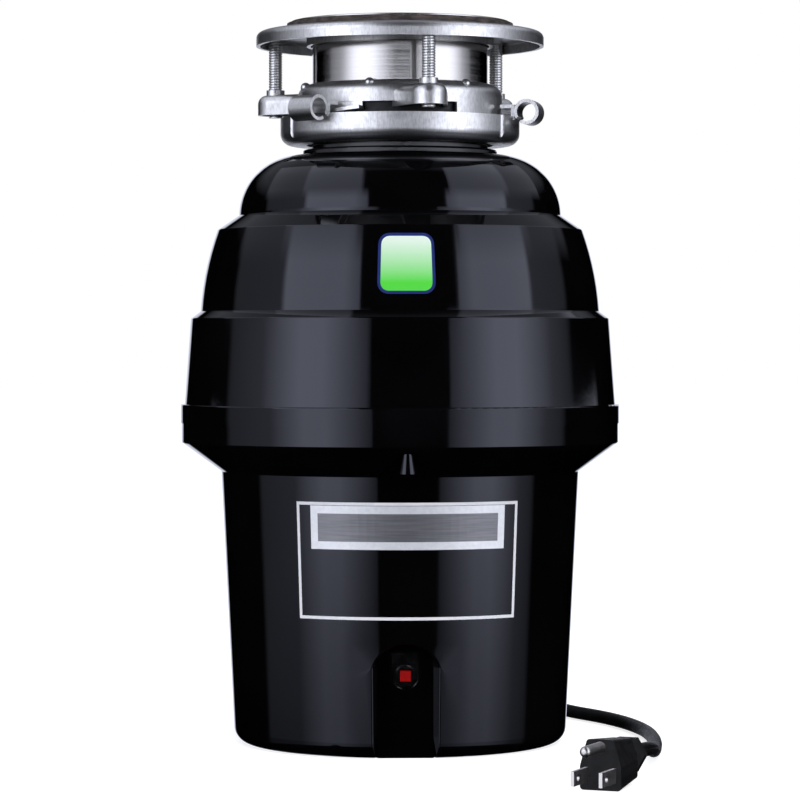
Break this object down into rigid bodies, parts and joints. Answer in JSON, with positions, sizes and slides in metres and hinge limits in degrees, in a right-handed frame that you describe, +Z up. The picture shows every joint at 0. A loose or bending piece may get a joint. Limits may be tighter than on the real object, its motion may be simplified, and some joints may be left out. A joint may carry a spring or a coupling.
{
  "type": "kitchen garbage disposal",
  "caption": "Under-sink food waste disposer: stepped gloss black housing, bolted sink mount with turn ring, reset button in a foot recess, and a cord with plug.",
  "frame": {"origin": "centre of the housing's foot on the floor", "axes": "+Z up along the grinding axis, -Y the front with the reset button, +X to the right seen from the front"},
  "size_m": [0.2275, 0.4145, 0.3441],
  "materials": {
    "stainless": "polished stainless steel",
    "zinc_steel": "zinc plated, satin with a fine grain",
    "screw_steel": "zinc plated",
    "spring_steel": "oiled spring steel",
    "bearing_steel": "ground",
    "painted_steel": "black paint",
    "core_steel": "stacked sheet, lacquered",
    "magnet": "ferrite, matt",
    "cast_aluminium": "die cast",
    "copper": "enamelled copper",
    "brass": "stamped",
    "nickel_brass": "nickel plated",
    "carbon": "carbon, matt",
    "fibre": "dark brown fibre, matt",
    "gloss_black": "gloss moulded",
    "black_plastic": "satin moulded",
    "red_plastic": "gloss moulded",
    "black_rubber": "matt",
    "cord_black": "matt vinyl",
    "tie_black": "matt"
  },
  "bodies": {
    "housing": {"sink_flange": "stainless", "upper_mount_ring": "zinc_steel", "snap_ring": "spring_steel", "splash_guard": "black_rubber", "upper_shell": "gloss_black", "lower_shell": "gloss_black", "wiring_cover": "zinc_steel", "cover_screws": "screw_steel", "shell_screws": "screw_steel", "hopper": "black_plastic", "chamber_gasket": "black_rubber", "chamber_bolts": "screw_steel", "shredder_ring": "stainless", "drain_chamber": "cast_aluminium", "shaft_seal": "black_rubber", "upper_bearing": "bearing_steel", "lower_bearing": "bearing_steel", "motor_can": "painted_steel", "field_magnets": "magnet", "lower_end_bell": "cast_aluminium", "brush_holders": "brass", "brushes": "carbon", "brush_springs": "spring_steel", "motor_bolts": "screw_steel", "rectifier": "black_plastic", "overload_protector": "black_plastic", "strain_relief": "black_rubber", "cord_lead": "cord_black", "cord_coil": "cord_black", "cord_tail": "cord_black", "cord_tie": "tie_black", "plug_body": "cord_black", "plug_blades": "nickel_brass", "plug_ground_pin": "nickel_brass"},
    "rotor": {"motor_shaft": "bearing_steel", "rotor_core": "core_steel", "rotor_winding": "copper", "commutator": "copper", "turntable": "stainless", "turntable_nut": "stainless", "impeller_pins": "stainless"},
    "impeller_a": {"impeller_a": "stainless"},
    "impeller_b": {"impeller_b": "stainless"},
    "mount_ring": {"lower_mount_ring": "zinc_steel"},
    "clamp": {"backup_flange": "zinc_steel", "fibre_gasket": "fibre", "mounting_screws": "screw_steel"},
    "reset": {"reset_button": "red_plastic"}
  },
  "joints": [
    {"name": "rotor_spin", "type": "hinge", "parent": "housing", "child": "rotor", "pos_m": [0, 0, 0.06], "axis": [0, 0, 1], "continuous": true},
    {"name": "impeller_a_swivel", "type": "hinge", "parent": "rotor", "child": "impeller_a", "pos_m": [0.035, 0, 0.153], "axis": [0, 0, 1], "continuous": true},
    {"name": "impeller_b_swivel", "type": "hinge", "parent": "rotor", "child": "impeller_b", "pos_m": [-0.035, 0, 0.153], "axis": [0, 0, 1], "continuous": true},
    {"name": "mount_ring_turn", "type": "hinge", "parent": "housing", "child": "mount_ring", "pos_m": [0, 0, 0.29], "axis": [0, 0, 1], "range_deg": [-20, 20]},
    {"name": "clamp_lift", "type": "slide", "parent": "housing", "child": "clamp", "axis": [0, 0, 1], "range_m": [-0.01, 0]},
    {"name": "reset_press", "type": "slide", "parent": "housing", "child": "reset", "axis": [0, -1, 0], "range_m": [0, 0.003]}
  ]
}
